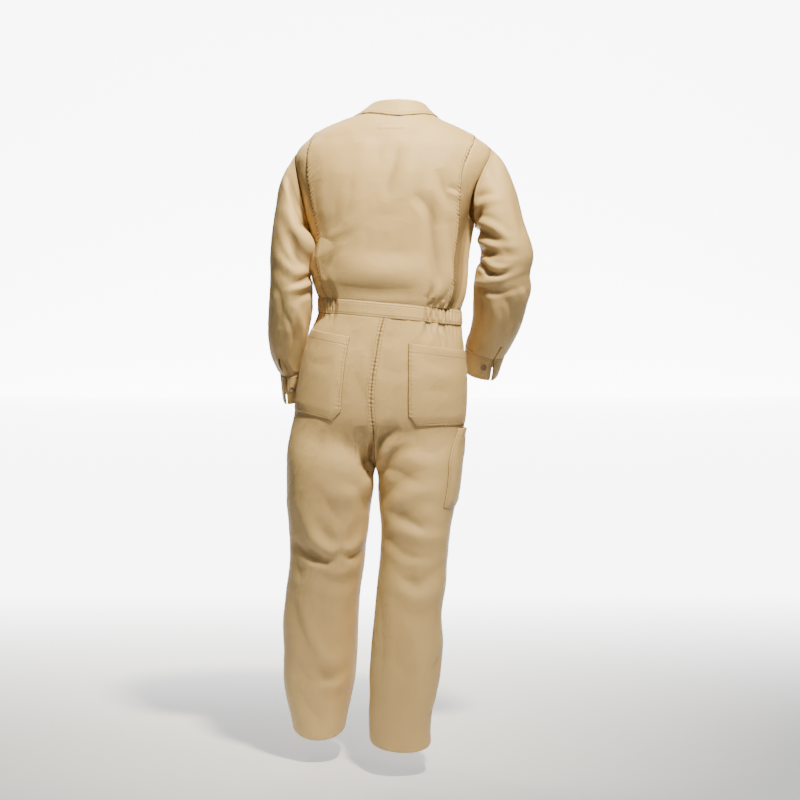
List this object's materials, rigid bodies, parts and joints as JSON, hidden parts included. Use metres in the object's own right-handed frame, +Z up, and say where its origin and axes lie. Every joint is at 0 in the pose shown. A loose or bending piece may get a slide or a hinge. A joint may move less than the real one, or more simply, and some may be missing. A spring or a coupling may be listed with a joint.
{
  "type": "boiler suit",
  "caption": "Long-sleeved khaki twill boiler suit in its worn, standing form, with action-back pleats, elastic waist, patch pockets and a front zip.",
  "frame": {"origin": "middle of the neck, level with the wearer's shoulders, 1.585 m above the floor the wearer stands on", "axes": "+Z up, +Y the wearer's back, +X the wearer's left"},
  "size_m": [0.6495, 0.3101, 1.5796],
  "materials": {
    "khaki_twill": "khaki cotton twill with a soft satin sheen",
    "zip_tape": "matt woven tape",
    "brass": "satin",
    "button": "plain brown button"
  },
  "bodies": {
    "suit": {"back_centre": "khaki_twill", "back_side_left": "khaki_twill", "back_side_right": "khaki_twill", "front_left": "khaki_twill", "front_right": "khaki_twill", "collar": "khaki_twill", "waistband_back": "khaki_twill", "waistband_left": "khaki_twill", "waistband_right": "khaki_twill", "trouser_back_left": "khaki_twill", "trouser_back_right": "khaki_twill", "trouser_front_left": "khaki_twill", "trouser_front_right": "khaki_twill", "back_pocket_left": "khaki_twill", "back_pocket_right": "khaki_twill", "rule_pocket": "khaki_twill", "front_pocket_left": "khaki_twill", "front_pocket_right": "khaki_twill", "sleeve_left": "khaki_twill", "sleeve_right": "khaki_twill", "cuff_left": "khaki_twill", "cuff_right": "khaki_twill", "cuff_button_left": "button", "cuff_button_right": "button", "zip_tape": "zip_tape", "zip_slider": "brass"},
    "pull_tab": {"zip_pull": "brass"}
  },
  "joints": [
    {"name": "pull_tab_hinge", "type": "hinge", "parent": "suit", "child": "pull_tab", "pos_m": [-0.00332, -0.10291, -0.06375], "axis": [-0.9573, 0.1513, 0.2465], "range_deg": [0, 150]}
  ]
}
